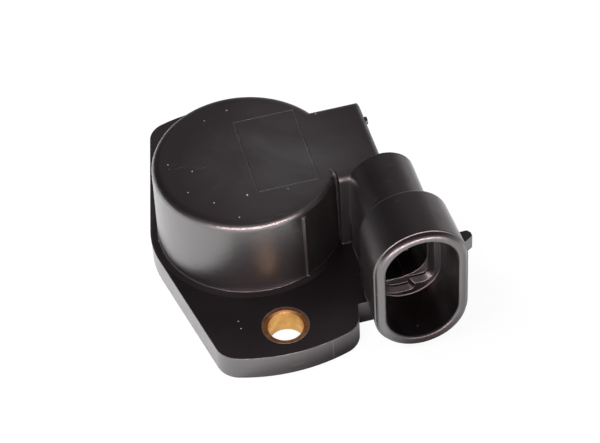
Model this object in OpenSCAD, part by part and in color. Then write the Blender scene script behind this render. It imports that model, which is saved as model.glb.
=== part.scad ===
// Rotary throttle position sensor with a side plug.
// Z is the turning axis, Z = 0 is the mounting face, the plug opens toward -Y.
// The two fixing holes lie on the Y axis and the arm reaches toward +X.

/* [Round body] */
// outside diameter of the round body just above the flange
body_d = 30; // [29:0.25:33]
// height of the body top above the mounting face
body_h = 19.7; // [19.4:0.1:23]
// loss of radius from the flange to the top
body_taper = 0.3; // [0:0.05:0.5]
// radius of the rounded top edge
body_round = 1.5; // [0.8:0.1:2]
// thickness of the body side wall
body_wall = 2.5; // [2.3:0.1:3]
// thickness of the body top wall
top_wall = 1.8; // [1.4:0.1:2.2]
// width of the sloped collar at the body foot
collar_w = 0.85; // [0.4:0.05:1]
// radius of the half round bead on the body side
bead_r = 0.35; // [0.25:0.05:0.6]

/* [Flange] */
// distance between the two fixing holes
hole_spacing = 45; // [43:0.5:50]
// distance from a fixing hole to the flange end
end_margin = 5.8; // [5.2:0.1:7]
// width that the flange adds on each side of the body
side_margin = 1.5; // [1.2:0.1:2.5]
// width of the flange across its ends, before the corners are rounded
flange_end_w = 21; // [18:0.2:23]
// thickness of the flange
flange_t = 4.5; // [4:0.1:5.5]
// radius of the four flange corners
corner_r = 4; // [3:0.1:5]

/* [Fixing bushes] */
// outside diameter of the metal bushes
bush_d = 7.4; // [7:0.1:8.5]
// bore of the metal bushes
bush_bore = 5.6; // [5.2:0.1:6.2]
// width of the bevel at each end of a bush bore
bush_bevel = 0.3; // [0.1:0.05:0.4]

/* [Arm and plug] */
// distance that the arm reaches beyond the round body
arm_over = 5.65; // [5.2:0.05:7]
// distance of the arm front wall from the axis
arm_front = 8.7; // [8.2:0.1:9.2]
// distance of the arm back wall from the axis
arm_back = 7.2; // [6.8:0.1:9]
// height of the plug axis above the mounting face
plug_z = 13; // [12.9:0.1:14]
// outside width of the plug shroud
shroud_w = 14.9; // [14.6:0.1:16]
// outside height of the plug shroud
shroud_h = 24.9; // [24:0.1:25.2]
// thickness of the shroud wall
shroud_wall = 1.75; // [1.6:0.05:1.8]
// distance of the shroud mouth from the axis
mouth_y = 29.25; // [28.5:0.25:33]
// depth of the wide part of the socket
socket_depth = 8.85; // [7.25:0.1:9]
// length of the shroud along its axis
shroud_len = 10.5; // [10:0.25:11.5]
// outside width of the neck between the arm and the shroud
neck_w = 10.5; // [10:0.1:11.2]
// outside height of the neck
neck_h = 18.2; // [17.6:0.1:19]
// width of the keyed opening inside the socket
key_w = 7.6; // [7:0.1:7.7]
// height of the keyed opening, without its deeper corner
key_h = 14.9; // [14.6:0.1:15.2]

/* [Terminals] */
// distance between neighbouring terminals
pitch = 4; // [3.6:0.1:4.2]
// width of a terminal blade
blade_w = 2.8; // [2.2:0.1:3]
// thickness of a terminal blade
blade_t = 0.8; // [0.6:0.05:1]

/* [Rotor] */
// diameter of the rotor hub in its bearing
hub_d = 10; // [9.6:0.1:10.6]
// diameter of the drive socket for the throttle shaft
drive_d = 7.2; // [7:0.1:7.6]
// diameter of the rotor disc
disc_d = 21.2; // [20.4:0.1:21.6]
// diameter of the upper spindle
spindle_d = 3.5; // [3:0.1:4]
// turning angle between the two stops
travel = 100; // [80:1:110]

/* [Fits] */
// radial clearance of the rotor in its two bearings
turn_gap = 0.05; // [0.03:0.01:0.08]
// clearance of pieces that are held still
seat_gap = 0.03; // [0.02:0.01:0.05]
// gap between a moving piece and a still one
free_gap = 0.3; // [0.25:0.01:0.35]

/* [Hidden] */
$fn = 96;
e = 0.5;
body_r = body_d / 2;
cavity_r = body_r - body_wall;
seat_r = cavity_r + 0.4;
ledge_r = cavity_r - 1;
groove_in = seat_r + 0.6;
groove_out = groove_in + 1.8;
groove_t = 1.4;
gate_y = 3.3;
gate_r = 0.65;
seal_t = groove_t - 0.1;
flange_len = hole_spacing + 2 * end_margin;
flange_mid = max(body_r, groove_out - 0.5) + side_margin;
arm_x = body_r + arm_over;
plug_x = arm_x - 0.43;
shroud_y = mouth_y - shroud_len;
neck_x = plug_x - 0.42;
neck_y = arm_front - 0.4;
neck_z = plug_z + 0.75;
outer_z = plug_z - 0.35;
inner_z = plug_z - 0.1;
floor_y = mouth_y - socket_depth;
key_y = arm_front + 2.8;
web_y = floor_y + 1.3;
lip_len = 0.95;
lip_step = 0.2;
bead_short = 0.3;
draft = 0.4;
lead_in = 0.75;
key_depth = 1.1;
key_step = 1.3;
key_x = 0.57;
nub_out = 2.8;
nub_h = 2.6;
nub_y = floor_y + 0.1;

// heights, counted from the mounting face
cover_z = 0.4;
cover_t = 2.4;
cover_top = cover_z + cover_t;
washer_t = 0.4;
washer_z = cover_top + seat_gap;
shoulder_z = washer_z + washer_t + free_gap;
spring_z = shoulder_z + 0.35;
spring_h = 2.2;
disc_z = spring_z + spring_h + 0.8;
disc_t = 1.6;
disc_top = disc_z + disc_t;
pad_h = 1.5;
leaf_z = disc_top + pad_h;
board_z = disc_top + 3.1;
board_t = 1;
board_top = board_z + board_t;
track_t = 0.13;
contact_t = 0.1;
lane_z = board_top + 1.4;
roof_z = body_h - top_wall;

// rotor and spring
hub_r = hub_d / 2;
boss_r = hub_r + 1.5;
disc_r = disc_d / 2;
spindle_r = spindle_d / 2;
drive_r = drive_d / 2;
drive_flat = drive_r - 1;
tab_r = cavity_r - 0.6;
stop_r = cavity_r - 1.5;
stop_w = 2.4;
clip_w = 3.8;
clip_t = 0.3;
resistor_r = disc_r - 1.4;
collector_r = resistor_r - 2.8;
leaf_in = collector_r - 2.2;
leaf_w = 3;
leaf_side = 1.2;
track_w = 1.4;
seal_w = 1.6;
seal_h = 0.8;
tab_angle = 205;
stop_angle = asin((stop_w + free_gap + 0.1) / stop_r);
coil_t = 0.35;
coil_gap = 1.1;
coil_r = boss_r + 0.8;
coil_turns = 3;
spring_angle = 120;

// terminals: lane position along Y, then height at the plug
lane_y = [-2, -5.5, 1.5];
lane_w = 2.2;
lane_in = body_r / 2;
run_w = 2.2;
run_x = plug_x - blade_w / 2 - 0.7 - run_w / 2;
blade_out = 5.2;
tip_y = key_y + blade_out;

// a corner of a convex outline, replaced by its two tangent points
function unit(v) = v / norm(v);
function corner_cut(p, a, b, r) =
    let (u = unit(a - p), w = unit(b - p), h = acos(u * w) / 2)
    [p + u * r / tan(h), p + w * r / tan(h)];
function corner_mid(p, a, b, r) =
    let (u = unit(a - p), w = unit(b - p), h = acos(u * w) / 2)
    p + unit(u + w) * r / sin(h);

module round_outline(pts, radii) {
    n = len(pts);
    polygon([for (i = [0 : n - 1])
        each corner_cut(pts[i], pts[(i + n - 1) % n], pts[(i + 1) % n], radii[i])]);
    for (i = [0 : n - 1])
        translate(corner_mid(pts[i], pts[(i + n - 1) % n], pts[(i + 1) % n], radii[i]))
            circle(radii[i]);
}

module ring(ro, ri, z, h) {
    translate([0, 0, z])
        linear_extrude(h)
            difference() {
                circle(ro);
                circle(ri);
            }
}

module block(a, b) {
    translate([min(a.x, b.x), min(a.y, b.y), min(a.z, b.z)])
        cube([abs(b.x - a.x), abs(b.y - a.y), abs(b.z - a.z)]);
}

// half profile: radius along X, distance along the plug axis along Y,
// narrower by d at its start
module edge_profile(r, a0, a1, r0, r1, d = 0) {
    polygon([[0, a0], [r - d - r0, a0], [r - d, a0 + r0], [r, a1 - r1], [r - r1, a1], [0, a1]]);
    translate([r - d - r0, a0 + r0])
        circle(r0, $fn = 48);
    translate([r - r1, a1 - r1])
        circle(r1, $fn = 48);
}

// sweeps a half profile round a slot shape with straight sides of 2 * hs
module slot_sweep(hs) {
    for (s = [0, 1])
        rotate([0, 0, 180 * s])
            translate([0, hs, 0])
                rotate_extrude(angle = 180)
                    children();
    for (s = [0, 1])
        mirror([s, 0, 0])
            translate([0, hs, 0])
                rotate([90, 0, 0])
                    linear_extrude(2 * hs)
                        children();
}

module slot_shape(w, h) {
    translate([0, h / 2 - w / 2])
        circle(w / 2);
    translate([0, w / 2 - h / 2])
        circle(w / 2);
    square([w, h - w], center = true);
}

// bevel that widens a rectangular hole toward its mouth at height a along Z,
// corner radii in the order right bottom, left bottom, left top, right top
module hole_bevel(x0, x1, y0, y1, radii, a, c) {
    cx = [x1 - radii[0], x0 + radii[1], x0 + radii[2], x1 - radii[3]];
    cy = [y0 + radii[0], y0 + radii[1], y1 - radii[2], y1 - radii[3]];
    for (i = [0 : 3])
        translate([cx[i], cy[i], a - c])
            cylinder(r1 = radii[i], r2 = radii[i] + c, h = c);
    translate([cx[1], 0, 0])
        rotate([90, 0, 90])
            linear_extrude(cx[0] - cx[1])
                polygon([[y0, a - c], [y0 + c, a - c], [y0 + c, a], [y0 - c, a]]);
    translate([cx[2], 0, 0])
        rotate([90, 0, 90])
            linear_extrude(cx[3] - cx[2])
                polygon([[y1 - c, a - c], [y1, a - c], [y1 + c, a], [y1 - c, a]]);
    translate([0, cy[3], 0])
        rotate([90, 0, 0])
            linear_extrude(cy[3] - cy[0])
                polygon([[x1 - c, a - c], [x1, a - c], [x1 + c, a], [x1 - c, a]]);
    translate([0, cy[2], 0])
        rotate([90, 0, 0])
            linear_extrude(cy[2] - cy[1])
                polygon([[x0, a - c], [x0 + c, a - c], [x0 + c, a], [x0 - c, a]]);
}

// places a shape that runs along Z so that it runs out of the plug
module on_plug(z = plug_z) {
    translate([plug_x, 0, z])
        rotate([90, 0, 0])
            children();
}

// tapered flange, its sides and ends blended by arcs about the turning axis
module flange_outline() {
    m = flange_mid + 0.1;
    w = flange_end_w / 2;
    l = flange_len / 2;
    r = corner_r;
    n = unit([l, m - w]);
    s = [-n.y, n.x];
    d = n.x * m;
    c = n * (d - r) + s * sqrt((l - r) * (l - r) - (d - r) * (d - r));
    on_side = c + n * r;
    on_end = unit(c) * l;
    round_outline([[m, 0], on_side, on_end, [-on_end.x, on_end.y], [-on_side.x, on_side.y],
        [-m, 0], -on_side, -on_end, [on_end.x, -on_end.y], [on_side.x, -on_side.y]],
        [d, 0.01, 0.01, 0.01, 0.01, d, 0.01, 0.01, 0.01, 0.01]);
    for (x = [-1, 1])
        for (y = [-1, 1])
            translate([x * c.x, y * c.y])
                circle(r);
    intersection() {
        circle(l);
        for (y = [-1, 1])
            polygon([[0, 0], 1.2 * [on_end.x, y * on_end.y], 1.2 * [-on_end.x, y * on_end.y]]);
    }
}

module body_profile() {
    rt = body_r - body_taper;
    polygon([[0, 0], [body_r, 0], [body_r, flange_t], [rt, body_h - body_round],
        [rt - body_round, body_h], [0, body_h]]);
    translate([rt - body_round, body_h - body_round])
        circle(body_round, $fn = 64);
    polygon([[0, flange_t - 0.2], [body_r + collar_w, flange_t - 0.2],
        [body_r + collar_w, flange_t], [body_r, flange_t + 0.45 * collar_w],
        [0, flange_t + 0.45 * collar_w]]);
}

module arm_solid() {
    r = 1.1;
    x = sqrt(body_r * body_r - arm_front * arm_front) + 0.8;
    intersection() {
        linear_extrude(body_h) {
            round_outline([[arm_x, arm_back], [x, arm_back], [x, -arm_front], [arm_x, -arm_front]],
                [1.5, 0.3, 0.15, 0.6]);
            polygon([[x + 1, arm_back], [1, arm_back], [x, 1.3 - arm_front], [x + 1, 1.3 - arm_front]]);
        }
        translate([0, arm_back + 1, 0])
            rotate([90, 0, 0])
                linear_extrude(arm_back + arm_front + 2)
                    round_outline([[-1, -1], [arm_x, -1], [arm_x, body_h], [-1, body_h]],
                        [0.3, 0.3, r, 0.3]);
        rotate([90, 0, 90])
            linear_extrude(arm_x + 1)
                round_outline([[-arm_front, -1], [arm_back, -1], [arm_back, body_h],
                    [-arm_front, body_h]], [0.3, 0.3, r, 1.4]);
    }
    // gate mark on the end face
    translate([arm_x - 0.8, gate_y, body_h - r])
        rotate([0, 90, 0])
            cylinder(r = gate_r, h = 1.1, $fn = 48);
}

module neck_solid() {
    translate([neck_x - plug_x, 0, 0])
        on_plug(neck_z)
            slot_sweep(neck_h / 2 - neck_w / 2)
                edge_profile(neck_w / 2, neck_y, shroud_y + 1.5, 0.4, 0.4);
    block([neck_x - neck_w / 2, -neck_y - 1, 0.8 * flange_t], [neck_x, -shroud_y - 1, neck_z]);
}

module shroud_solid() {
    on_plug(outer_z)
        slot_sweep(shroud_h / 2 - shroud_w / 2) {
            edge_profile(shroud_w / 2, shroud_y, mouth_y - lip_len, 0.8, 0.1, draft);
            edge_profile(shroud_w / 2 - lip_step, mouth_y - lip_len - 2, mouth_y, 0.3, 0.95);
        }
    block([plug_x - 0.9 * shroud_w / 2, -shroud_y - 0.8, 0.8 * flange_t], [plug_x, -web_y, plug_z]);
}

module socket_space() {
    ri = shroud_w / 2 - shroud_wall;
    rl = 0.55;
    on_plug(inner_z)
        slot_sweep(shroud_h / 2 - shroud_w / 2 - 0.25) {
            edge_profile(ri, floor_y, mouth_y + 1, 0.3, 0.3);
            difference() {
                translate([ri - 0.1, mouth_y - rl])
                    square([rl + 0.1, rl + 1]);
                translate([ri + rl, mouth_y - rl])
                    circle(rl, $fn = 48);
            }
        }
    // keyed opening with a bevelled mouth, then a plain slot for the terminals
    w = key_w / 2;
    h = key_h / 2;
    on_plug() {
        translate([0, 0, floor_y - key_depth])
            linear_extrude(key_depth + 1) {
                round_outline([[w, h], [-w, h], [-w, -h], [w, -h]], [2.4, 2.4, 1.2, 1.2]);
                round_outline([[key_x, 0], [-w, 0], [-w, -h - key_step], [key_x, -h - key_step]],
                    [0.2, 0.2, 2.4, 0.3]);
            }
        hole_bevel(-w, w, -h, h, [1.2, 1.2, 2.4, 2.4], floor_y, lead_in);
        hole_bevel(-w, key_x, -h - key_step, 0, [0.3, 2.4, 1, 0.3], floor_y, lead_in);
        translate([0, 0, key_y])
            linear_extrude(floor_y - key_y) {
                slot_shape(key_w - 0.2, key_h - 0.7);
                round_outline([[0.1 - w, 0], [0.1 - w, 0.1 - h], [0, 0.1 - h], [0, 0]],
                    [0.3, 1.2, 0.3, 0.3]);
            }
    }
}

module latch_nub() {
    x = plug_x + shroud_w / 2 - 0.05;
    translate([0, 0, plug_z + 0.1 - nub_h / 2])
        linear_extrude(nub_h)
            polygon([[x - 1, -nub_y], [x + nub_out - 0.45, -nub_y], [x + nub_out, -nub_y - 0.6],
                [x + nub_out, -nub_y - 1.35], [x - 1, -nub_y - 3.7]]);
}

module web_plate() {
    linear_extrude(flange_t)
        round_outline([[arm_x, arm_back], [0, arm_back], [0, -web_y], [arm_x, -web_y]],
            [1.5, 0.3, 0.3, 1.5]);
}

module terminal_shape(i, g = 0) {
    z = plug_z + (i - 1) * pitch;
    h = blade_t / 2 + g;
    y = lane_y[i];
    w = lane_w / 2 + g;
    block([plug_x - blade_w / 2 - g, -tip_y, z - h], [plug_x + blade_w / 2 + g, -key_y + 2, z + h]);
    block([run_x - run_w / 2 - g, -key_y + 0.5 - g, z - h],
        [plug_x + blade_w / 2 + g, -key_y + 2.7 + g, z + h]);
    block([run_x - run_w / 2 - g, -key_y + 0.5 - g, z - h], [run_x + run_w / 2 + g, y + w, z + h]);
    block([run_x - run_w / 2 - g, y - w, min(z, lane_z) - h],
        [run_x - run_w / 2 + blade_t + g, y + w, max(z, lane_z) + h]);
    block([lane_in - g, y - w, lane_z - h], [run_x - 0.5, y + w, lane_z + h]);
    block([lane_in - g, y - w, board_top + contact_t + 0.02], [lane_in + blade_t + g, y + w, lane_z]);
}

module stop_posts() {
    for (a = [tab_angle - stop_angle, tab_angle + travel + stop_angle])
        rotate([0, 0, a])
            block([stop_r, -stop_w / 2, spring_z + spring_h + 0.4],
                [cavity_r + 1, stop_w / 2, disc_top + 1]);
}

module spring_path(g) {
    p = coil_gap;
    rotate([0, 0, spring_angle])
        for (n = [0 : coil_turns - 1]) {
            intersection() {
                difference() {
                    circle(coil_r + n * p + coil_t / 2 + g);
                    circle(coil_r + n * p - coil_t / 2 - g);
                }
                translate([-30, 0])
                    square([60, 30]);
            }
            translate([p / 2, 0])
                intersection() {
                    difference() {
                        circle(coil_r + n * p + p / 2 + coil_t / 2 + g);
                        circle(coil_r + n * p + p / 2 - coil_t / 2 - g);
                    }
                    translate([-30, -30])
                        square([60, 30]);
                }
        }
}

module insert_outline() {
    x0 = 0.2;
    x1 = 10.1;
    y0 = -8;
    y1 = 8.2;
    w = 0.16;
    translate([0, 0, body_h - 0.08])
        linear_extrude(1)
            difference() {
                translate([x0, y0])
                    square([x1 - x0, y1 - y0]);
                translate([x0 + w, y0 + w])
                    square([x1 - x0 - 2 * w, y1 - y0 - 2 * w]);
            }
}

module housing() {
    color([0.05, 0.05, 0.055])
    difference() {
        union() {
            difference() {
                union() {
                    rotate_extrude()
                        body_profile();
                    linear_extrude(flange_t)
                        flange_outline();
                    web_plate();
                    arm_solid();
                    neck_solid();
                    shroud_solid();
                    latch_nub();
                    rotate([0, 0, -66])
                        translate([body_r - 0.35 * bead_r, 0, flange_t])
                            rotate([0, -0.9, 0])
                                cylinder(r = bead_r, h = body_h - flange_t - body_round - bead_short);
                }
                translate([0, 0, -e])
                    cylinder(r = seat_r, h = cover_top + seat_gap + e);
                cylinder(r = cavity_r, h = board_top + seat_gap);
                cylinder(r = ledge_r, h = roof_z);
                socket_space();
                ring(groove_out, groove_in, -e, groove_t + e);
            }
            stop_posts();
            translate([0, 0, lane_z + blade_t])
                cylinder(r = spindle_r + 2, h = body_h - 1 - lane_z - blade_t);
        }
        for (y = [-1, 1])
            translate([0, y * hole_spacing / 2, -e])
                cylinder(r = bush_d / 2 + 0.01, h = flange_t + 2 * e);
        translate([0, 0, lane_z])
            cylinder(r = spindle_r + turn_gap, h = roof_z - lane_z);
        for (i = [0 : 2])
            terminal_shape(i, seat_gap);
        rotate([0, 0, spring_angle])
            block([cavity_r - e, -coil_t - 0.1, cover_top],
                [cavity_r + 1, coil_t + 0.1, spring_z + spring_h + 0.1]);
        insert_outline();
    }
}

module bush() {
    r = bush_bore / 2;
    rotate_extrude()
        polygon([[r, bush_bevel], [r + bush_bevel, 0], [bush_d / 2, 0], [bush_d / 2, flange_t],
            [r + bush_bevel, flange_t], [r, flange_t - bush_bevel]]);
}

module front_bush() {
    color([0.85, 0.6, 0.25])
    translate([0, -hole_spacing / 2, 0])
        bush();
}

module rear_bush() {
    color([0.85, 0.6, 0.25])
    translate([0, hole_spacing / 2, 0])
        bush();
}

module terminal_lower() {
    color([0.78, 0.78, 0.76])
    terminal_shape(0);
}

module terminal_middle() {
    color([0.78, 0.78, 0.76])
    terminal_shape(1);
}

module terminal_upper() {
    color([0.78, 0.78, 0.76])
    terminal_shape(2);
}

module track_board() {
    color([0.2, 0.35, 0.22])
    difference() {
        translate([0, 0, board_z])
            cylinder(r = cavity_r - seat_gap, h = board_t);
        translate([0, 0, board_z - e])
            cylinder(r = spindle_r + 0.5, h = board_t + 2 * e);
        for (a = [tab_angle - stop_angle, tab_angle + travel + stop_angle])
            rotate([0, 0, a])
                block([stop_r - 0.3, -stop_w / 2 - 0.3, board_z - e],
                    [cavity_r + 1, stop_w / 2 + 0.3, board_top + e]);
    }
}

module track(r, w) {
    rotate([0, 0, tab_angle + 180 + 15])
        translate([0, 0, board_z - track_t - 0.02])
            rotate_extrude(angle = travel + 35)
                translate([r - w / 2, 0])
                    square([w, track_t]);
}

module resistor_track() {
    color([0.1, 0.1, 0.1])
    track(resistor_r, track_w);
}

module collector_track() {
    color([0.75, 0.72, 0.66])
    track(collector_r, track_w);
}

module contact_pad(i) {
    color([0.8, 0.52, 0.3])
    translate([lane_in - 0.6, lane_y[i] - 1.2, board_top + 0.01])
        cube([2, 2.4, contact_t]);
}

module contact_pad_a() {
    contact_pad(0);
}

module contact_pad_b() {
    contact_pad(1);
}

module contact_pad_c() {
    contact_pad(2);
}

module rotor() {
    color([0.78, 0.76, 0.7])
    difference() {
        union() {
            translate([0, 0, 0.6])
                cylinder(r = hub_r, h = disc_z);
            translate([0, 0, shoulder_z])
                cylinder(r = boss_r, h = disc_z - shoulder_z + 0.5);
            translate([0, 0, disc_z])
                cylinder(r = disc_r, h = disc_t);
            cylinder(r = spindle_r, h = roof_z - free_gap);
            rotate([0, 0, tab_angle])
                block([disc_r - 3, -stop_w / 2, disc_z], [tab_r, stop_w / 2, disc_top]);
            rotate([0, 0, tab_angle + 180])
                block([leaf_in + 0.2, -leaf_w + 1, disc_top - e], [resistor_r - 0.2, 1.1, leaf_z]);
        }
        translate([0, 0, -e])
            intersection() {
                cylinder(r = drive_r, h = disc_z + e + 0.6);
                block([-drive_r - 1, -drive_r - 1, -1], [drive_r + 1, drive_flat, disc_z + 2]);
            }
        rotate([0, 0, spring_angle])
            block([boss_r - 0.9, -coil_t - 0.1, spring_z - 0.2],
                [boss_r + 1, coil_t + 0.1, spring_z + spring_h + 0.2]);
    }
}

module wiper_leaf() {
    color([0.82, 0.62, 0.35])
    rotate([0, 0, tab_angle + 180]) {
        translate([leaf_in, leaf_side - leaf_w, leaf_z + 0.01])
            cube([resistor_r - leaf_in, leaf_w, 0.22]);
        for (r = [collector_r, resistor_r])
            for (s = [-0.4, 0.4])
                translate([sqrt(r * r - 16) + s - 0.25, 1, leaf_z + 0.01]) {
                    rotate([15, 0, 0])
                        cube([0.5, 3.2, 0.22]);
                    translate([0, 2.99, 0.84])
                        rotate([0, 90, 0])
                            cylinder(r = 0.3, h = 0.5, $fn = 24);
                }
    }
}

module shaft_clip() {
    y = drive_flat - seat_gap;
    color([0.72, 0.73, 0.75])
    union() {
        block([-clip_w / 2, y - clip_t, 1.6], [clip_w / 2, y, disc_z - 0.2]);
        intersection() {
            translate([-clip_w / 2 + 0.4, y - clip_t, (1.6 + disc_z) / 2])
                rotate([0, 90, 0])
                    cylinder(r = clip_t, h = clip_w - 0.8, $fn = 48);
            block([-clip_w, y - 2 * clip_t - 1, 0], [clip_w, y - 0.1, disc_z]);
        }
    }
}

module return_spring() {
    color([0.7, 0.71, 0.73])
    translate([0, 0, spring_z])
        linear_extrude(spring_h) {
            spring_path(0);
            rotate([0, 0, spring_angle]) {
                translate([boss_r - 0.7, -coil_t / 2])
                    square([coil_r - boss_r + 0.7 + coil_t / 2, coil_t]);
                translate([coil_r + coil_turns * coil_gap - coil_t / 2, -coil_t / 2])
                    square([cavity_r + 0.7 - coil_r - coil_turns * coil_gap, coil_t]);
            }
        }
}

module thrust_washer() {
    color([0.85, 0.83, 0.76])
    ring(hub_r + 2.2, hub_r + 0.3, washer_z, washer_t);
}

module hub_seal() {
    color([0.12, 0.12, 0.12])
    ring(hub_r + seal_w, hub_r + turn_gap + 0.05, cover_z + 0.1, seal_h);
}

module rear_cover() {
    color([0.13, 0.13, 0.14])
    difference() {
        translate([0, 0, cover_z])
            cylinder(r = seat_r - seat_gap, h = cover_t);
        translate([0, 0, -e])
            cylinder(r = hub_r + turn_gap, h = cover_top + 2 * e);
        translate([0, 0, -e])
            cylinder(r = hub_r + seal_w + seat_gap, h = cover_z + 0.1 + seal_h + e + seat_gap);
    }
}

module mounting_seal() {
    color([0.1, 0.1, 0.1])
    ring(groove_out - 0.1, groove_in + 0.1, 0.05, seal_t);
}

housing();
front_bush();
rear_bush();
terminal_lower();
terminal_middle();
terminal_upper();
track_board();
resistor_track();
collector_track();
contact_pad_a();
contact_pad_b();
contact_pad_c();
rotor();
wiper_leaf();
shaft_clip();
return_spring();
thrust_washer();
hub_seal();
rear_cover();
mounting_seal();
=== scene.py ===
import math
import bpy
from mathutils import Matrix, Vector


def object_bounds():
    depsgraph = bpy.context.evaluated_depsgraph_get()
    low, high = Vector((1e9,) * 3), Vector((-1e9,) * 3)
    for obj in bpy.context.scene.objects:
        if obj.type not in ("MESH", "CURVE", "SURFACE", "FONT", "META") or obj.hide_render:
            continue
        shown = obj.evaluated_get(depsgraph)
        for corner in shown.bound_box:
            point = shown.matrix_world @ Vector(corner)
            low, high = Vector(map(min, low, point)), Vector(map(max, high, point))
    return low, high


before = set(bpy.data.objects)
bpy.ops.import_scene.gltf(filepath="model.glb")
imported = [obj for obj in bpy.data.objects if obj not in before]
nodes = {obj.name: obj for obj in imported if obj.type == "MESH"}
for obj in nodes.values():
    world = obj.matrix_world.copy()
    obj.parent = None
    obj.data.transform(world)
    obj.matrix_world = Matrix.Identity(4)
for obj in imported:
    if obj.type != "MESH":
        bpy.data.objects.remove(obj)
CAD_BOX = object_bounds()
scene = bpy.context.scene

# camera
# pinhole camera fitted to the photograph, lengths in units of the body radius
UNIT = 0.015
AZ, EL, ROLL = -0.2114, 0.8157, -0.0681
DIST, SCALE = 23.986, 91.92
ORIGIN_PX = (252.07, 242.83)
FRAME_W, FRAME_H = 600.0, 443.0
SENSOR = 36.0
CLIP = (0.01, 20.0)


def make_camera():
    back = Vector((math.sin(AZ) * math.cos(EL), -math.cos(AZ) * math.cos(EL), math.sin(EL)))
    right0 = Vector((math.cos(AZ), math.sin(AZ), 0.0))
    up0 = back.cross(right0)
    c, s = math.cos(ROLL), math.sin(ROLL)
    right = c * right0 + s * up0
    up = -s * right0 + c * up0
    focal_px = SCALE * DIST
    x0 = (ORIGIN_PX[0] - FRAME_W / 2) / focal_px * DIST
    y0 = -(ORIGIN_PX[1] - FRAME_H / 2) / focal_px * DIST
    data = bpy.data.cameras.new("camera")
    data.sensor_fit = "HORIZONTAL"
    data.sensor_width = SENSOR
    data.lens = SENSOR * focal_px / FRAME_W
    data.clip_start, data.clip_end = CLIP
    cam = bpy.data.objects.new("camera", data)
    m = Matrix((right, up, back)).transposed().to_4x4()
    m.translation = (-x0 * right - y0 * up + DIST * back) * UNIT
    cam.matrix_world = m
    scene.collection.objects.link(cam)
    scene.camera = cam


make_camera()
scene.view_settings.view_transform = "Standard"

# node helpers
BEVEL_SAMPLES = 8
NUMBER_RESULTS = ("LENGTH", "DISTANCE", "DOT_PRODUCT")


class Nodes:
    """Short calls that build one node tree."""

    def __init__(self, tree):
        self.t = tree
        self.t.nodes.clear()

    def node(self, kind, **props):
        n = self.t.nodes.new(kind)
        for key, value in props.items():
            setattr(n, key, value)
        return n

    def link(self, a, b):
        self.t.links.new(a, b)

    def put(self, socket, value):
        if isinstance(value, bpy.types.NodeSocket):
            self.link(value, socket)
        else:
            socket.default_value = value

    def math(self, op, a, b=0.0, clamp=False):
        n = self.node("ShaderNodeMath", operation=op, use_clamp=clamp)
        self.put(n.inputs[0], a)
        self.put(n.inputs[1], b)
        return n.outputs[0]

    def vector(self, op, a, b=(0, 0, 0)):
        n = self.node("ShaderNodeVectorMath", operation=op)
        self.link(a, n.inputs[0])
        self.put(n.inputs[1], b)
        return n.outputs["Value" if op in NUMBER_RESULTS else "Vector"]

    def split(self, vec):
        """Returns the x, y and z of a vector."""
        n = self.node("ShaderNodeSeparateXYZ")
        self.link(vec, n.inputs[0])
        return n.outputs[0], n.outputs[1], n.outputs[2]

    def remap(self, value, a, b, c=0.0, d=1.0, smooth=False):
        """Takes a..b to c..d and holds the ends."""
        n = self.node("ShaderNodeMapRange", interpolation_type="SMOOTHSTEP" if smooth else "LINEAR")
        self.link(value, n.inputs["Value"])
        n.inputs["From Min"].default_value = a
        n.inputs["From Max"].default_value = b
        n.inputs["To Min"].default_value = c
        n.inputs["To Max"].default_value = d
        return n.outputs[0]

    def white_for_eye(self, surface, white, camera_share, mirror_share):
        """Mixes plain white in for the camera and for reflections; other rays see surface alone."""
        path = self.node("ShaderNodeLightPath")
        mirrored = self.math("MAXIMUM", path.outputs["Is Glossy Ray"], path.outputs["Is Transmission Ray"])
        share = self.math("MAXIMUM", self.math("MULTIPLY", path.outputs["Is Camera Ray"], camera_share),
                          self.math("MULTIPLY", mirrored, mirror_share))
        mix = self.node("ShaderNodeMixShader")
        self.link(share, mix.inputs[0])
        self.link(surface, mix.inputs[1])
        self.link(white, mix.inputs[2])
        return mix.outputs[0]


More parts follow.
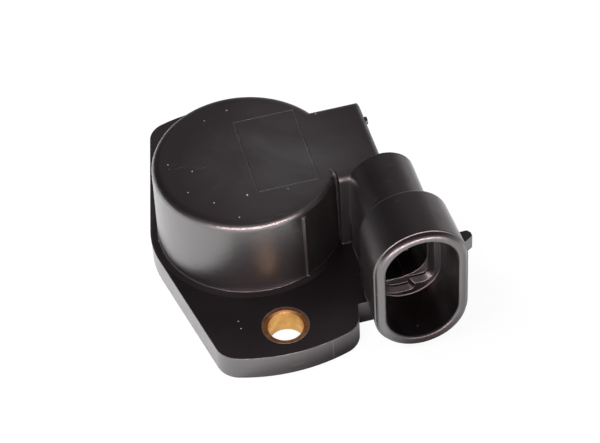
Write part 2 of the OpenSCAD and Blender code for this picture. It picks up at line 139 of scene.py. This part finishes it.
class Tree(Nodes):
    """Node tree of one material."""

    def __init__(self, name):
        self.mat = bpy.data.materials.new(name)
        self.mat.use_nodes = True
        super().__init__(self.mat.node_tree)
        self.out = self.node("ShaderNodeOutputMaterial")
        where = self.node("ShaderNodeTexCoord")
        self.coord = where.outputs["Object"]
        self.facing = where.outputs["Normal"]

    def stretch(self, scale, offset=(0, 0, 0), turn=(0, 0, 0)):
        n = self.node("ShaderNodeMapping")
        self.link(self.coord, n.inputs["Vector"])
        n.inputs["Location"].default_value = offset
        n.inputs["Rotation"].default_value = turn
        n.inputs["Scale"].default_value = scale
        return n.outputs[0]

    def noise(self, scale, detail, rough, vec=None, distortion=0.0):
        n = self.node("ShaderNodeTexNoise")
        self.link(vec or self.coord, n.inputs["Vector"])
        n.inputs["Scale"].default_value = scale
        n.inputs["Detail"].default_value = detail
        n.inputs["Roughness"].default_value = rough
        n.inputs["Distortion"].default_value = distortion
        return n.outputs[0]

    def cells(self, scale):
        """Returns the distance to the nearest cell's middle, and a colour that is random for each cell."""
        n = self.node("ShaderNodeTexVoronoi")
        self.link(self.coord, n.inputs["Vector"])
        n.inputs["Scale"].default_value = scale
        return n.outputs["Distance"], n.outputs["Color"]

    def blend(self, fac, a, b):
        n = self.node("ShaderNodeMix", data_type="RGBA")
        self.put(n.inputs[0], fac)
        self.put(n.inputs[6], a)
        self.put(n.inputs[7], b)
        return n.outputs[2]

    def bump(self, height, distance, strength, normal):
        n = self.node("ShaderNodeBump")
        n.inputs["Strength"].default_value = strength
        n.inputs["Distance"].default_value = distance
        self.link(height, n.inputs["Height"])
        self.link(normal, n.inputs["Normal"])
        return n.outputs[0]

    def soft_edge(self, radius):
        """Returns the rounded normal and its agreement with the face: 1, and less on edges."""
        n = self.node("ShaderNodeBevel", samples=BEVEL_SAMPLES)
        n.inputs["Radius"].default_value = radius
        face = self.node("ShaderNodeNewGeometry").outputs["Normal"]
        return n.outputs[0], self.vector("DOT_PRODUCT", n.outputs[0], face)

    def shader(self, color, rough, normal, metallic=0.0, **fixed):
        p = self.node("ShaderNodeBsdfPrincipled")
        self.put(p.inputs["Base Color"], color)
        self.put(p.inputs["Roughness"], rough)
        p.inputs["Metallic"].default_value = metallic
        for key, value in fixed.items():
            p.inputs[key.replace("_", " ")].default_value = value
        self.link(normal, p.inputs["Normal"])
        self.link(p.outputs[0], self.out.inputs["Surface"])
        return p


def rgb(r, g, b):
    return (r, g, b, 1.0)


def scaled(tone, r, g, b):
    return rgb(min(1.0, tone[0] * r), min(1.0, tone[1] * g), min(1.0, tone[2] * b))


def dress(mat, *names):
    for name in names:
        obj = nodes[name]
        if not obj.material_slots:
            obj.data.materials.append(mat)
        for slot in obj.material_slots:
            slot.material = mat


# materials
# agreement of rounded normal and face, from the first trace to full strength
WORN = (0.995, 0.9)
# SHARP is the narrow edge band that carries the painted edge highlight
SHARP = (0.97, 0.89)

# black mouldings
EDGE_RADIUS = 0.0002
RUBBED = rgb(0.05, 0.047, 0.049)
# lighter edge colour: partly edge wear, partly a painted highlight along the edges
WORN_EDGE_HIGHLIGHT = rgb(0.16, 0.15, 0.155)
WITNESS_TONE = rgb(0.16, 0.15, 0.15)
SCRATCHED = rgb(0.09, 0.088, 0.09)
DUST_TONE = rgb(0.42, 0.4, 0.38)
# heights and places in metres, each from where a mark fades to where it is whole
BELOW_TOP = (0.0196, 0.0193)
BELOW_FLANGE_TOP = (0.00448, 0.00443)
ABOVE_UNDERSIDE = (0.00002, 0.00007)
WITNESS_X = 0.0062
WITNESS_HALF_WIDTH = (0.00014, 0.00004)
WITNESS_FRONT = (-0.020, -0.021)
DRUM_RADIUS = (0.0153, 0.0151)
DULL_FOOT_Z = (0.006, 0.001)
DULL_FOOT_X = (-0.016, 0.008)
# turn in the level plane and seed of each set of scratches
SCRATCH_SETS = ((0.5, 1.3), (-0.9, 4.1))
SCRATCH_GRAIN = (180.0, 5200.0, 900.0)
# dust: cells per metre, share of cells without a speck, radius of a speck in cells
DUST_CELLS = 600.0
DUST_CHOICE = (0.88, 0.89)
DUST_RADIUS = (0.085, 0.05)
# specks that the photograph shows: place, radius, stretch of each axis
SPECKS = (
    ((-0.0118, 0.0021, 0.0197), 0.00013, (1, 1, 1)),
    ((-0.0015, -0.0080, 0.0197), 0.00016, (1, 0.6, 1)),
    ((-0.0041, 0.0100, 0.0197), 0.00010, (1, 1, 1)),
    ((-0.0038, -0.0122, 0.0197), 0.00012, (1, 1, 1)),
    ((0.0143, -0.0087, 0.0050), 0.00014, (1, 1, 1)),
    ((0.0128, -0.0226, 0.0177), 0.00016, (1, 0.5, 0.4)),
    ((0.0128, -0.0224, 0.0159), 0.00012, (1, 1, 0.7)),
    ((0.0128, -0.0235, 0.0160), 0.00010, (1, 0.6, 1)),
    ((0.0152, -0.0250, 0.0218), 0.00015, (1, 0.35, 0.5)),
)
# the part of the body top that handling has polished: middle, reach, gloss
POLISHED = (0.006, -0.003, 0.0197)
POLISHED_REACH = (0.003, 0.017)
POLISHED_GLOSS = 0.28
# share of a face's normal along the axis, from level face to wall
LEVEL_TO_WALL = (0.85, 0.35)
SKIN = {"Coat_Roughness": 0.32, "Coat_IOR": 2.4, "Specular_IOR_Level": 0.3,
        "Specular_Tint": rgb(1.0, 0.72, 0.75)}


def witness_line(t, place):
    """Mask of the upright witness line on the front end of the flange."""
    aside = t.math("ABSOLUTE", t.math("SUBTRACT", place[0], WITNESS_X))
    height = t.math("MULTIPLY", t.remap(place[2], *BELOW_FLANGE_TOP), t.remap(place[2], *ABOVE_UNDERSIDE))
    upright = t.math("MULTIPLY", t.remap(aside, *WITNESS_HALF_WIDTH), t.remap(place[1], *WITNESS_FRONT))
    return t.math("MULTIPLY", upright, height)


def scratches(t, flow):
    """Mask of fine straight scratches in two directions, broken up by a patchy mask."""
    marks = []
    for turn, seed in SCRATCH_SETS:
        lines = t.noise(1.0, 1.0, 0.5, vec=t.stretch(SCRATCH_GRAIN, (seed, seed, 0), (0, 0, turn)))
        marks.append(t.remap(lines, 0.74, 0.78))
    return t.math("MULTIPLY", t.math("MAXIMUM", *marks), t.remap(flow, 0.5, 0.62))


def dust(t):
    """Mask of scattered dust specks and of the ones in SPECKS."""
    spot, cell = t.cells(DUST_CELLS)
    pick = t.node("ShaderNodeSeparateColor")
    t.link(cell, pick.inputs[0])
    speck = t.math("MULTIPLY", t.remap(spot, *DUST_RADIUS), t.remap(pick.outputs[0], *DUST_CHOICE))
    for middle, radius, stretch in SPECKS:
        shaped = t.vector("MULTIPLY", t.vector("SUBTRACT", t.coord, middle), stretch)
        one = t.remap(t.vector("LENGTH", shaped), radius, radius * 0.5)
        speck = t.math("MAXIMUM", speck, one)
    return speck


def gloss_by_place(t, place):
    """Gloss of the skin: walls leave the mould glossier than level faces, and the top is polished."""
    wall = t.remap(t.math("ABSOLUTE", t.split(t.facing)[2]), *LEVEL_TO_WALL)
    # the foot of the moulding is duller toward the plug
    foot = t.math("MULTIPLY", t.remap(place[2], *DULL_FOOT_Z), t.remap(place[0], *DULL_FOOT_X))
    wall = t.math("MULTIPLY", wall, t.math("SUBTRACT", 1.0, foot))
    handled = t.remap(t.vector("DISTANCE", t.coord, POLISHED), *POLISHED_REACH, POLISHED_GLOSS, 0.0)
    patch = t.remap(t.noise(75.0, 4.0, 0.55, distortion=0.8), 0.35, 0.65, 0.65, 1.35)
    return t.math("MAXIMUM", wall, t.math("MULTIPLY", handled, patch))


def black_plastic(name, tone, rough):
    """Satin black moulding: fine spark texture, faint flow marks, rubs, dust, and lighter edges that are
    partly edge wear and partly a painted highlight.
    """
    t = Tree(name)
    place = t.split(t.coord)
    below_top = t.remap(place[2], *BELOW_TOP)
    flow = t.noise(90.0, 3.0, 0.5, distortion=0.6)
    fine = t.noise(5200.0, 2.0, 0.6)
    rub = t.noise(420.0, 6.0, 0.65)
    normal, agree = t.soft_edge(EDGE_RADIUS)

    color = t.blend(t.remap(flow, 0.3, 0.7), tone, scaled(tone, 1.6, 1.5, 1.55))
    wear = t.math("MULTIPLY", t.remap(agree, *WORN), t.remap(rub, 0.35, 0.7, 0.15, 0.7))
    color = t.blend(wear, color, RUBBED)
    # painted highlight: edges below the top are lightened, partly as edge wear and partly in place of edge
    # highlights
    worn_edge_highlight = t.math("MULTIPLY", t.remap(agree, *SHARP), below_top)
    color = t.blend(t.math("MULTIPLY", worn_edge_highlight, t.remap(rub, 0.35, 0.65, 0.4, 1.0)), color, WORN_EDGE_HIGHLIGHT)
    color = t.blend(t.math("MULTIPLY", witness_line(t, place), 0.5), color, WITNESS_TONE)
    scratch = scratches(t, flow)
    color = t.blend(t.math("MULTIPLY", scratch, 0.35), color, SCRATCHED)
    speck = dust(t)
    color = t.blend(t.math("MULTIPLY", speck, 0.8), color, DUST_TONE)

    r = t.math("ADD", t.remap(rub, 0.3, 0.7, rough - 0.05, rough + 0.06), t.math("MULTIPLY", wear, 0.1))
    r = t.math("ADD", r, t.math("MULTIPLY", speck, 0.4), clamp=True)

    # the round wall is coarser than the rest
    radial = t.vector("LENGTH", t.stretch((1, 1, 0)))
    drum = t.math("MULTIPLY", t.remap(radial, *DRUM_RADIUS), below_top)
    coarse = t.math("MULTIPLY", t.noise(1300.0, 3.0, 0.6), drum)
    normal = t.bump(flow, 0.00008, 0.25, normal)
    normal = t.bump(coarse, 0.00006, 0.5, normal)
    normal = t.bump(fine, 0.000012, 0.5, normal)
    normal = t.bump(scratch, 0.00001, 0.6, normal)

    p = t.shader(color, r, normal, **SKIN)
    t.link(gloss_by_place(t, place), p.inputs["Coat Weight"])
    t.link(normal, p.inputs["Coat Normal"])
    return t.mat


def turned_metal(name, tone, dark, stain, rough):
    """Turned bush: lathe grain round the axis, bright bore and stained end faces."""
    t = Tree(name)
    cloud = t.noise(700.0, 5.0, 0.6)
    grain = t.noise(1.0, 3.0, 0.6, vec=t.stretch((500.0, 500.0, 16000.0)))
    normal, agree = t.soft_edge(0.00012)
    end = t.remap(t.math("ABSOLUTE", t.split(t.facing)[2]), 0.3, 0.8)
    color = t.blend(t.remap(cloud, 0.35, 0.75, 0.0, 0.6), tone, dark)
    color = t.blend(t.math("MULTIPLY", end, t.remap(cloud, 0.25, 0.6, 0.75, 1.0)), color, stain)
    color = t.blend(t.math("MULTIPLY", t.remap(agree, *WORN), 0.35), color, tone)
    r = t.math("ADD", t.remap(cloud, 0.3, 0.7, rough - 0.06, rough + 0.06), t.math("MULTIPLY", end, 0.15))
    normal = t.bump(grain, 0.00001, 0.5, normal)
    t.shader(color, r, normal, metallic=1.0)
    return t.mat


# stretch of the grain in rolled strip, by the axis that it runs along
STRIP_GRAIN = {"y": (9000.0, 300.0, 9000.0), "z": (9000.0, 9000.0, 300.0)}


def strip_metal(name, tone, dark, rough, along):
    """Rolled strip: fine grain along one direction, light tarnish and bright sheared edges."""
    t = Tree(name)
    grain = t.noise(1.0, 3.0, 0.6, vec=t.stretch(STRIP_GRAIN[along]))
    cloud = t.noise(500.0, 5.0, 0.6)
    normal, agree = t.soft_edge(0.00006)
    color = t.blend(t.remap(cloud, 0.35, 0.75, 0.0, 0.8), tone, dark)
    color = t.blend(t.math("MULTIPLY", t.remap(agree, *WORN), 0.4), color, scaled(tone, 1.2, 1.2, 1.2))
    r = t.remap(grain, 0.3, 0.7, rough - 0.07, rough + 0.07)
    normal = t.bump(grain, 0.000006, 0.5, normal)
    t.shader(color, r, normal, metallic=1.0)
    return t.mat


def soft_plastic(name, tone, shade, rough):
    """Natural unpigmented moulding with a slightly cloudy body."""
    t = Tree(name)
    cloud = t.noise(260.0, 4.0, 0.5, distortion=0.4)
    fine = t.noise(4200.0, 2.0, 0.6)
    normal, agree = t.soft_edge(0.00015)
    color = t.blend(t.remap(cloud, 0.3, 0.7), tone, shade)
    color = t.blend(t.math("MULTIPLY", t.remap(agree, *WORN), 0.35), color, scaled(tone, 1.2, 1.2, 1.2))
    r = t.remap(cloud, 0.3, 0.7, rough - 0.05, rough + 0.07)
    normal = t.bump(fine, 0.00001, 0.5, normal)
    t.shader(color, r, normal)
    return t.mat


def rubber(name, tone):
    """Matt black rubber, greyer in clouds and on its edges."""
    t = Tree(name)
    cloud = t.noise(600.0, 5.0, 0.6)
    fine = t.noise(6500.0, 3.0, 0.7)
    normal, agree = t.soft_edge(0.00018)
    color = t.blend(t.remap(cloud, 0.35, 0.8), tone, scaled(tone, 1.9, 1.85, 1.8))
    color = t.blend(t.math("MULTIPLY", t.remap(agree, *WORN), 0.3), color, rgb(0.07, 0.068, 0.066))
    r = t.remap(cloud, 0.3, 0.7, 0.6, 0.75)
    normal = t.bump(fine, 0.00002, 0.6, normal)
    t.shader(color, r, normal)
    return t.mat


def printed_film(name, tone, shade, rough, metallic=0.0):
    """Thin printed or etched film with the fine mesh of the screen in it."""
    t = Tree(name)
    cloud = t.noise(900.0, 5.0, 0.6)
    mesh = t.noise(9000.0, 2.0, 0.6)
    normal, agree = t.soft_edge(0.00004)
    color = t.blend(t.remap(cloud, 0.35, 0.75), tone, shade)
    color = t.blend(t.math("MULTIPLY", t.remap(agree, *WORN), 0.3), color, shade)
    r = t.remap(mesh, 0.3, 0.7, rough - 0.06, rough + 0.06)
    normal = t.bump(mesh, 0.000008, 0.6, normal)
    t.shader(color, r, normal, metallic=metallic)
    return t.mat


def laminate(name, tone, shade, cut):
    """Board laminate: a faint woven glass pattern under a satin mask, with pale cut edges."""
    t = Tree(name)
    waves = []
    for axis in ("X", "Y"):
        w = t.node("ShaderNodeTexWave", bands_direction=axis)
        t.link(t.coord, w.inputs["Vector"])
        w.inputs["Scale"].default_value = 300.0
        w.inputs["Distortion"].default_value = 1.5
        w.inputs["Detail Scale"].default_value = 2.0
        waves.append(w.outputs[1])
    weave = t.math("MULTIPLY", *waves)
    cloud = t.noise(350.0, 4.0, 0.6)
    normal, agree = t.soft_edge(0.00008)
    color = t.blend(t.remap(weave, 0.0, 1.0, 0.0, 0.5), tone, shade)
    color = t.blend(t.math("MULTIPLY", t.remap(agree, *WORN), 0.6), color, cut)
    r = t.remap(cloud, 0.3, 0.7, 0.32, 0.48)
    normal = t.bump(weave, 0.00001, 0.5, normal)
    t.shader(color, r, normal)
    return t.mat


dress(black_plastic("housing_plastic", rgb(0.0042, 0.0038, 0.0042), 0.36), "housing")
dress(black_plastic("cover_plastic", rgb(0.018, 0.0178, 0.018), 0.42), "rear_cover")
dress(turned_metal("bush_brass", rgb(0.95, 0.6, 0.2), rgb(0.7, 0.36, 0.1), rgb(0.22, 0.1, 0.06), 0.3),
      "front_bush", "rear_bush")
dress(strip_metal("terminal_metal", rgb(0.66, 0.65, 0.62), rgb(0.4, 0.38, 0.35), 0.3, "y"),
      "terminal_lower", "terminal_middle", "terminal_upper")
dress(laminate("board_laminate", rgb(0.05, 0.11, 0.055), rgb(0.1, 0.18, 0.09), rgb(0.4, 0.38, 0.26)),
      "track_board")
dress(printed_film("carbon_ink", rgb(0.012, 0.012, 0.012), rgb(0.03, 0.03, 0.03), 0.45), "resistor_track")
dress(printed_film("silver_ink", rgb(0.6, 0.58, 0.54), rgb(0.42, 0.4, 0.36), 0.38, metallic=1.0),
      "collector_track")
dress(printed_film("pad_copper", rgb(0.78, 0.4, 0.22), rgb(0.5, 0.22, 0.1), 0.32, metallic=1.0),
      "contact_pad_a", "contact_pad_b", "contact_pad_c")
dress(soft_plastic("rotor_plastic", rgb(0.62, 0.58, 0.47), rgb(0.5, 0.46, 0.36), 0.42),
      "rotor", "thrust_washer")
dress(strip_metal("contact_bronze", rgb(0.72, 0.46, 0.2), rgb(0.45, 0.26, 0.1), 0.28, "y"), "wiper_leaf")
dress(strip_metal("spring_steel", rgb(0.52, 0.53, 0.55), rgb(0.3, 0.3, 0.31), 0.27, "z"),
      "shaft_clip", "return_spring")
dress(rubber("seal_rubber", rgb(0.014, 0.014, 0.014)), "hub_seal", "mounting_seal")

# floor
FLOOR_SIZE = 6.0
FLOOR_GAP = 0.00005
FLOOR_TONE = rgb(0.86, 0.86, 0.86)
FLOOR_WHITE = 1.05
FLOOR_CAMERA_SHARE = 0.9
FLOOR_MIRROR_SHARE = 0.2


def make_floor():
    """Pale matt floor that still takes the shadow of the part."""
    bpy.ops.mesh.primitive_plane_add(size=FLOOR_SIZE, location=(0, 0, CAD_BOX[0][2] - FLOOR_GAP))
    floor = bpy.context.object
    floor.name = "floor"
    t = Tree("floor_white")
    matt = t.node("ShaderNodeBsdfDiffuse")
    matt.inputs["Color"].default_value = FLOOR_TONE
    glow = t.node("ShaderNodeEmission")
    glow.inputs["Strength"].default_value = FLOOR_WHITE
    seen = t.white_for_eye(matt.outputs[0], glow.outputs[0], FLOOR_CAMERA_SHARE, FLOOR_MIRROR_SHARE)
    t.link(seen, t.out.inputs["Surface"])
    floor.data.materials.append(t.mat)


# world
# height of a direction above the horizon, and the light there
DOME_HEIGHTS = (0.25, 0.95)
DOME_LIGHT = (0.08, 0.32)
DOME_TONE = rgb(1.0, 0.95, 0.96)
BACKDROP = rgb(0.8, 0.8, 0.8)
# a dark card stands back left, in reflections alone
CARD_WAY = (-0.75, 0.6, 0.28)
CARD_EDGE = (0.5, 0.85)
CARD_SHARES = (0.85, 0.03)


def make_world():
    """Studio dome: bright overhead, dim toward the horizon, plain and pale for the camera."""
    world = bpy.data.worlds.new("studio")
    scene.world = world
    world.use_nodes = True
    t = Nodes(world.node_tree)
    out = t.node("ShaderNodeOutputWorld")
    way = t.node("ShaderNodeTexCoord").outputs["Generated"]
    light = t.node("ShaderNodeBackground")
    light.inputs["Color"].default_value = DOME_TONE
    t.link(t.remap(t.split(way)[2], *DOME_HEIGHTS, *DOME_LIGHT, smooth=True), light.inputs["Strength"])
    backdrop = t.node("ShaderNodeBackground")
    backdrop.inputs["Color"].default_value = BACKDROP
    beside_card = t.remap(t.vector("DOT_PRODUCT", way, CARD_WAY), *CARD_EDGE, *CARD_SHARES, smooth=True)
    seen = t.white_for_eye(light.outputs[0], backdrop.outputs[0], 1.0, beside_card)
    t.link(seen, out.inputs["Surface"])


# lamps
def area(name, place, target, size, power, matt=True, mirrored=True, color=(1, 1, 1)):
    """Soft rectangular lamp for matt surfaces, for reflections or for both."""
    data = bpy.data.lights.new(name, "AREA")
    data.shape = "RECTANGLE"
    data.size, data.size_y = size
    data.energy = power
    data.color = color
    obj = bpy.data.objects.new(name, data)
    obj.visible_diffuse = matt
    obj.visible_glossy = mirrored
    obj.location = place
    look = Vector(target) - Vector(place)
    obj.rotation_euler = look.to_track_quat("-Z", "Y").to_euler()
    scene.collection.objects.link(obj)


MID_BODY = (0, 0, 0.012)

make_floor()
make_world()
area("strip_front", place=(-0.035, -0.434, 0.097), target=MID_BODY, size=(0.8, 0.03), power=3.6,
     matt=False, color=(1, 0.8, 0.82))
area("side_right", place=(0.26, 0.24, 0.06), target=MID_BODY, size=(0.2, 0.08), power=0.1, matt=False)
area("key_left_back", place=(-0.3, 0.2, 0.35), target=(0, 0, 0), size=(0.15, 0.15), power=2.5,
     mirrored=False)
area("pool_left", place=(-0.09, -0.06, 0.3), target=(-0.09, -0.06, 0), size=(0.12, 0.12), power=0.5,
     mirrored=False)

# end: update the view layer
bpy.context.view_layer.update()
